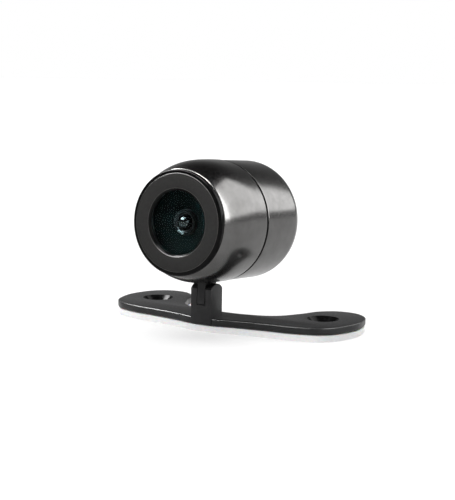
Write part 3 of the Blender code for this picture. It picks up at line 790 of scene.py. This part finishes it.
def make_rear_cover():
    front_f = -2.4 * MM
    chamfer = 0.34 * MM
    bare_line = 0.07 * MM
    edge_radius = 4.0 * MM
    radius = REAR_RADIUS
    rounds = 18
    centre = (radius - edge_radius, REAR_FACE + edge_radius)
    turns = [math.radians(-90 * i / rounds) for i in range(rounds + 1)]
    rounded = []
    for turn in turns:
        across, along = edge_radius * math.cos(turn), edge_radius * math.sin(turn)
        rounded.append((centre[0] + across, centre[1] + along, 0.0))
    recess, recess_outer, recess_inner = 0.35 * MM, 7.9 * MM, 7.6 * MM
    gland_hole = 2.7 * MM
    inner_wall = REAR_FACE + 1.3 * MM
    floor, inside, spigot_bore, spigot = 8.9 * MM, 10.3 * MM, 9.7 * MM, 10.5 * MM
    inside_front, spigot_back, spigot_front = -5.0 * MM, -4.4 * MM, -0.7 * MM
    hole_circle, hole_radius, hole_length = 5.6 * MM, 0.75 * MM, 1.6 * MM
    corners = [
        (radius - chamfer, front_f, 0.04 * MM),
        (radius - bare_line, front_f - chamfer + bare_line, 0.0),
        (radius, front_f - chamfer, 0.04 * MM),
        *rounded,
        (recess_outer, REAR_FACE, 0.12 * MM),
        (recess_inner, REAR_FACE + recess, 0.12 * MM),
        (gland_hole, REAR_FACE + recess, 0.05 * MM),
        (gland_hole, inner_wall, 0.05 * MM),
        (floor, inner_wall, 0.4 * MM),
        (inside, inner_wall + 1.4 * MM, 0.4 * MM),
        (inside, inside_front, 0.0),
        (spigot_bore, spigot_back, 0.0),
        (spigot_bore, spigot_front, 0.05 * MM),
        (spigot, spigot_front, 0.05 * MM),
        (spigot, front_f, 0.0),
    ]

    # The cup's front chamfer takes the near-black gloss: painted shade in the gap at the seam.
    def band(at_radius, forward):
        in_groove = forward > front_f - chamfer and radius - chamfer < at_radius < radius - bare_line
        return 1 if in_groove else 0

    mesh = lathe_mesh("rear_cup", filleted(corners), band=band)
    base = bpy.data.objects.new("cup", mesh)
    for material in (BLACK_CHROME, GLOSS_BLACK_AND_SHADE):
        mesh.materials.append(material)
    spanner_holes = [
        rod((0.0, side * hole_circle, REAR_FACE), hole_radius, hole_radius, hole_length, "Z")
        for side in (-1, 1)
    ]
    cup = shaped(base, spanner_holes)
    piece = new_piece("rear_cup_shell", cup, [], HEAD, LENS_FRAME)
    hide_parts("rear_cover")


def make_gland():
    bore = 1.5 * MM
    neck = 2.4 * MM
    inner_flange, flange = 3.5 * MM, 0.8 * MM
    skirt, skirt_end = 3.1 * MM, 2.9 * MM
    corners = [
        (bore, GLAND_TOP, 0.1 * MM),
        (inner_flange, GLAND_TOP, 0.25 * MM),
        (inner_flange, GLAND_TOP - flange, 0.1 * MM),
        (neck, GLAND_TOP - flange, 0.1 * MM),
        (neck, REAR_FACE + 0.02 * MM, 0.05 * MM),
        (GLAND_RADIUS, REAR_FACE - 0.02 * MM, 0.15 * MM),
        (GLAND_RADIUS, REAR_FACE - 0.6 * MM, 0.25 * MM),
        (skirt, REAR_FACE - flange, 0.15 * MM),
        (skirt_end, GLAND_TIP, 0.3 * MM),
        (bore + 0.35 * MM, GLAND_TIP, 0.15 * MM),
        (bore, GLAND_TIP + 0.4 * MM, 0.1 * MM),
    ]
    gland = lathe("cable_gland_grommet", corners, [RUBBER], steps=SMALL_STEPS)
    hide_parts("cable_gland")


# ------------------------------------------------------------------------------
# Bracket and pad
# ------------------------------------------------------------------------------

SCREW_HOLE_X = 20.8 * MM
SCREW_HOLE_Y = 12.0 * MM
SCREW_HOLE_RADIUS = 2.1 * MM
COUNTERSINK_RADIUS = 3.35 * MM
COUNTERSINK_DEPTH = 1.2 * MM
PAD_HOLE_RADIUS = 2.5 * MM
CUTTER_LENGTH = 8 * MM
WELD_DISTANCE = 2e-6

# Half of the outline in millimetres, from the front of the column out to the tip and back to the neck.
WING_OUTLINE = (
    (3.0, -1.8),
    (6.5, -0.9),
    (13.0, 0.2),
    (20.5, 1.3),
    (25.6, 3.8),
    (28.2, 9.0),
    (28.4, 15.0),
    (25.9, 20.2),
    (20.8, 21.8),
    (16.5, 19.2),
    (14.2, 14.0),
    (11.0, 9.0),
    (6.2, 7.0),
)
FRONT_MIDDLE = (0.0, -1.95)
REAR_MIDDLE = (0.0, 6.4)


def wing_plate(bottom, top, edge, inset=0.0, edge_steps=4):
    """A plate of the bracket's outline with rounded rims, as a mesh object."""
    right = [(x * MM, y * MM) for x, y in WING_OUTLINE]
    left = [(-x, y) for x, y in reversed(right)]
    middle = [tuple(value * MM for value in point) for point in (FRONT_MIDDLE, REAR_MIDDLE)]
    outline = [middle[0], *right, middle[1], *left]
    data = bpy.data.curves.new("wing", "CURVE")
    data.dimensions = "2D"
    data.fill_mode = "BOTH"
    data.resolution_u = 14
    data.extrude = (top - bottom) / 2 - edge
    data.bevel_depth = edge
    data.bevel_resolution = edge_steps
    data.offset = -edge - inset
    spline = data.splines.new("BEZIER")
    spline.bezier_points.add(len(outline) - 1)
    for point, (x, y) in zip(spline.bezier_points, outline):
        point.co = (x, y, 0.0)
        point.handle_left_type = "AUTO"
        point.handle_right_type = "AUTO"
    spline.use_cyclic_u = True
    curve = bpy.data.objects.new("wing", data)
    bpy.context.scene.collection.objects.link(curve)
    bpy.context.view_layer.update()
    graph = bpy.context.evaluated_depsgraph_get()
    mesh = bpy.data.meshes.new_from_object(curve.evaluated_get(graph))
    bpy.data.objects.remove(curve, do_unlink=True)
    weld = bmesh.new()
    weld.from_mesh(mesh)
    bmesh.ops.remove_doubles(weld, verts=weld.verts, dist=WELD_DISTANCE)
    bmesh.ops.recalc_face_normals(weld, faces=weld.faces)
    weld.to_mesh(mesh)
    weld.free()
    mesh.transform(Matrix.Translation((0.0, 0.0, (bottom + top) / 2)))
    return bpy.data.objects.new("wing", mesh)


def make_bracket():
    """The two-wing plate with its countersunk holes, whose walls are darker than the rest: painted shade
    in the holes.
    """
    plate = wing_plate(PLATE_BOTTOM, PLATE_TOP, 0.32 * MM)
    cutters = []
    above = 0.4 * MM
    slope = (COUNTERSINK_RADIUS - SCREW_HOLE_RADIUS) / COUNTERSINK_DEPTH
    for side in (-1, 1):
        x = side * SCREW_HOLE_X
        centre = (x, SCREW_HOLE_Y, PLATE_TOP)
        cutters.append(rod(centre, SCREW_HOLE_RADIUS, SCREW_HOLE_RADIUS, CUTTER_LENGTH, "Z", SMALL_STEPS))
        middle = (x, SCREW_HOLE_Y, PLATE_TOP + (above - COUNTERSINK_DEPTH) / 2)
        wide = COUNTERSINK_RADIUS + slope * above
        cutters.append(rod(middle, SCREW_HOLE_RADIUS, wide, COUNTERSINK_DEPTH + above, "Z", SMALL_STEPS))
    mesh = shaped(plate, cutters)
    # The walls of the countersinks and holes take the near-black gloss: painted shade in the holes.
    hole_edge = COUNTERSINK_RADIUS + 0.05 * MM
    flat = 0.95
    for face in mesh.polygons:
        off_x, off_y = abs(face.center.x) - SCREW_HOLE_X, face.center.y - SCREW_HOLE_Y
        if math.hypot(off_x, off_y) < hole_edge and abs(face.normal.z) < flat:
            face.material_index = 1
    piece = new_piece("bracket_plate", mesh, [PAINTED_BLACK, GLOSS_BLACK_AND_SHADE], BASE)
    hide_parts("mounting_bracket")


def make_pad():
    pad = wing_plate(0.0, PAD_TOP, 0.12 * MM, inset=0.15 * MM, edge_steps=2)
    holes = []
    for side in (-1, 1):
        centre = (side * SCREW_HOLE_X, SCREW_HOLE_Y, 0.0)
        holes.append(rod(centre, PAD_HOLE_RADIUS, PAD_HOLE_RADIUS, CUTTER_LENGTH, "Z", SMALL_STEPS))
    piece = new_piece("foam_tape_pad", shaped(pad, holes), [WHITE_FOAM], BASE)
    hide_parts("adhesive_pad")


# ------------------------------------------------------------------------------
# CAD nodes that keep their own shape
# ------------------------------------------------------------------------------

KEPT_NODES = {
    RUBBER: ("window_gasket", "housing_seal"),
    LENS_GLASS: ("lens_middle_element", "lens_rear_element"),
    LENS_BLACK: ("lens_spacer",),
    FILTER_GLASS: ("ir_filter",),
    STEEL: (
        "lens_retaining_ring",
        "lens_holder_screw_1",
        "lens_holder_screw_2",
        "sensor_board_screw_1",
        "sensor_board_screw_2",
        "power_board_screw_1",
        "power_board_screw_2",
    ),
    NYLON: ("tilt_bush",),
    CHIP_PLASTIC: (
        "lens_holder",
        "image_sensor",
        "image_processor",
        "board_header",
        "inductor",
        "voltage_regulator",
    ),
    CAN_METAL: ("crystal", "capacitor_1", "capacitor_2"),
    CIRCUIT_BOARD: ("sensor_board", "power_board"),
    SOCKET_PLASTIC: ("wire_socket",),
}


def dress_kept_nodes():
    for material, names in KEPT_NODES.items():
        for name in names:
            node = frame["nodes"][name]
            node.data.materials.clear()
            node.data.materials.append(material)


# ------------------------------------------------------------------------------
# Stage, light and camera
# ------------------------------------------------------------------------------

WHITE = (1.0, 1.0, 1.0)


def make_floor():
    """White ground that glows a little, so that shadows on it stay pale. It is darker in reflections."""
    size = 30.0
    albedo, glow_seen, glow_mirrored = 0.42, 0.60, 0.36
    shape = bmesh.new()
    bmesh.ops.create_grid(shape, x_segments=1, y_segments=1, size=size)
    mesh = bpy.data.meshes.new("floor")
    shape.to_mesh(mesh)
    shape.free()
    floor = bpy.data.objects.new("floor", mesh)
    bpy.context.scene.collection.objects.link(floor)
    material = bpy.data.materials.new("floor_white")
    material.use_nodes = True
    tree = material.node_tree
    shader = tree.nodes["Principled BSDF"]
    shader.inputs["Base Color"].default_value = (*grey(albedo), 1.0)
    shader.inputs["Roughness"].default_value = 1.0
    shader.inputs["Specular IOR Level"].default_value = 0.0
    shader.inputs["Emission Color"].default_value = (*WHITE, 1.0)
    path = tree.nodes.new("ShaderNodeLightPath")
    direct = tree.nodes.new("ShaderNodeMath")
    glow = tree.nodes.new("ShaderNodeMapRange")
    glow.inputs["To Min"].default_value = glow_mirrored
    glow.inputs["To Max"].default_value = glow_seen
    tree.links.new(path.outputs["Is Camera Ray"], direct.inputs[0])
    tree.links.new(path.outputs["Is Diffuse Ray"], direct.inputs[1])
    tree.links.new(direct.outputs["Value"], glow.inputs["Value"])
    tree.links.new(glow.outputs["Result"], shader.inputs["Emission Strength"])
    floor.data.materials.append(material)


def make_world():
    """White behind the object; the object itself mirrors a dark room with a grey band at the horizon."""
    at_horizon, overhead = grey(0.36), (0.02, 0.02, 0.022)
    steps_up = ((0.12, 0.34), (0.26, 0.24), (0.5, 0.10), (0.75, 0.03))
    world = bpy.data.worlds.new("studio")
    bpy.context.scene.world = world
    world.use_nodes = True
    tree = world.node_tree
    tree.nodes.clear()
    output = tree.nodes.new("ShaderNodeOutputWorld")
    mix = tree.nodes.new("ShaderNodeMixShader")
    seen = tree.nodes.new("ShaderNodeBackground")
    seen.inputs["Color"].default_value = (*WHITE, 1.0)
    seen.inputs["Strength"].default_value = 1.0
    mirrored = tree.nodes.new("ShaderNodeBackground")
    mirrored.inputs["Strength"].default_value = 1.0
    place = tree.nodes.new("ShaderNodeTexCoord")
    split = tree.nodes.new("ShaderNodeSeparateXYZ")
    ramp = tree.nodes.new("ShaderNodeValToRGB")
    ramp.color_ramp.elements[0].position = 0.0
    ramp.color_ramp.elements[0].color = (*at_horizon, 1.0)
    ramp.color_ramp.elements[1].position = 1.0
    ramp.color_ramp.elements[1].color = (*overhead, 1.0)
    for position, value in steps_up:
        ramp.color_ramp.elements.new(position).color = (*grey(value), 1.0)
    path = tree.nodes.new("ShaderNodeLightPath")
    tree.links.new(place.outputs["Generated"], split.inputs["Vector"])
    tree.links.new(split.outputs["Z"], ramp.inputs["Fac"])
    tree.links.new(ramp.outputs["Color"], mirrored.inputs["Color"])
    tree.links.new(path.outputs["Is Camera Ray"], mix.inputs["Fac"])
    tree.links.new(mirrored.outputs["Background"], mix.inputs[1])
    tree.links.new(seen.outputs["Background"], mix.inputs[2])
    tree.links.new(mix.outputs["Shader"], output.inputs["Surface"])


def direction(azimuth, elevation):
    """Unit vector from the object; azimuth 0 is -Y, where the lens looks, and +90 is +X. Degrees."""
    a, e = math.radians(azimuth), math.radians(elevation)
    return Vector((math.sin(a) * math.cos(e), -math.cos(a) * math.cos(e), math.sin(e)))


AIM = Vector((0.0, 0.0, 19.0 * MM))


def add_light(name, kind, azimuth, elevation, distance, **settings):
    """A light at an azimuth and elevation in degrees, turned to AIM and hidden from the camera."""
    data = bpy.data.lights.new(name, kind)
    for setting, value in settings.items():
        setattr(data, setting, value)
    light = bpy.data.objects.new(name, data)
    bpy.context.scene.collection.objects.link(light)
    towards = direction(azimuth, elevation)
    light.location = AIM + towards * distance
    light.rotation_euler = towards.to_track_quat("Z", "Y").to_euler()
    light.visible_camera = False
    return light


def panel(name, azimuth, elevation, distance, width, height, radiance):
    """A soft box whose face has the given brightness. It shows in reflections and lights nothing else."""
    power = radiance * math.pi * width * height
    face = {"shape": "RECTANGLE", "size": width, "size_y": height, "energy": power}
    lit = add_light(name, "AREA", azimuth, elevation, distance, **face)
    lit.visible_diffuse = False
    return lit


def wall_panel(name, from_azimuth, to_azimuth, low, high, distance, radiance):
    """An upright soft box between two azimuths, from one elevation to another at its middle. Degrees."""
    half = math.radians(to_azimuth - from_azimuth) / 2
    width = 2 * distance * math.tan(half)
    bottom, top = (distance * math.tan(math.radians(angle)) for angle in (low, high))
    middle = (from_azimuth + to_azimuth) / 2
    lit = panel(name, middle, 0.0, distance, width, top - bottom, radiance)
    lit.location.z += (bottom + top) / 2


def soft_sun(name, azimuth, elevation, energy, width):
    """A wide sun that lights surfaces but shows neither in reflections nor through glass."""
    sun = add_light(name, "SUN", azimuth, elevation, 1.0, energy=energy, angle=math.radians(width))
    sun.visible_glossy = False
    sun.visible_transmission = False


def make_lights():
    soft_sun("key_sun", azimuth=-160, elevation=68, energy=3.9, width=80)
    soft_sun("front_sun", azimuth=-20, elevation=35, energy=1.2, width=60)
    wall_panel("side_softbox", 56, 165, low=9, high=62, distance=0.6, radiance=3.4)
    wall_panel("bright_softbox", 66, 97, low=8, high=60, distance=0.5, radiance=7.0)
    panel("left_softbox", -52, 49, distance=0.6, width=0.85, height=0.22, radiance=42.0)
    panel("top_softbox", 6, 66, distance=0.6, width=0.26, height=0.16, radiance=10.0)


def make_camera():
    """A long lens from the front right, a little above the barrel."""
    azimuth, elevation, distance = 33.227, 7.391, 0.250
    pan, lift, roll = (math.radians(value) for value in (-0.952, 0.498, 0.727))
    focal_pixels, long_side, sensor = 1222.96, 500, 36.0
    back = direction(azimuth, elevation)
    right = Vector((math.cos(math.radians(azimuth)), math.sin(math.radians(azimuth)), 0.0))
    up = back.cross(right)
    panned_back = back * math.cos(pan) + right * math.sin(pan)
    panned_right = right * math.cos(pan) - back * math.sin(pan)
    lifted_back = panned_back * math.cos(lift) + up * math.sin(lift)
    lifted_up = up * math.cos(lift) - panned_back * math.sin(lift)
    turned_right = panned_right * math.cos(roll) + lifted_up * math.sin(roll)
    turned_up = lifted_up * math.cos(roll) - panned_right * math.sin(roll)
    data = bpy.data.cameras.new("camera")
    data.sensor_fit = "AUTO"
    data.sensor_width = sensor
    data.lens = focal_pixels * sensor / long_side
    data.clip_start = 0.01
    data.clip_end = 100.0
    camera = bpy.data.objects.new("camera", data)
    bpy.context.scene.collection.objects.link(camera)
    turn = Matrix((turned_right, turned_up, lifted_back)).transposed().to_4x4()
    camera.matrix_world = Matrix.Translation(AIM + back * distance) @ turn
    bpy.context.scene.camera = camera


make_front_bezel()
make_window()
make_baffle()
make_lens()
make_front_housing()
make_tongue()
make_column()
make_tilt_screw()
make_rear_cover()
make_gland()
make_bracket()
make_pad()
dress_kept_nodes()
make_floor()
make_world()
make_lights()
make_camera()
bpy.context.scene.view_settings.view_transform = "Standard"
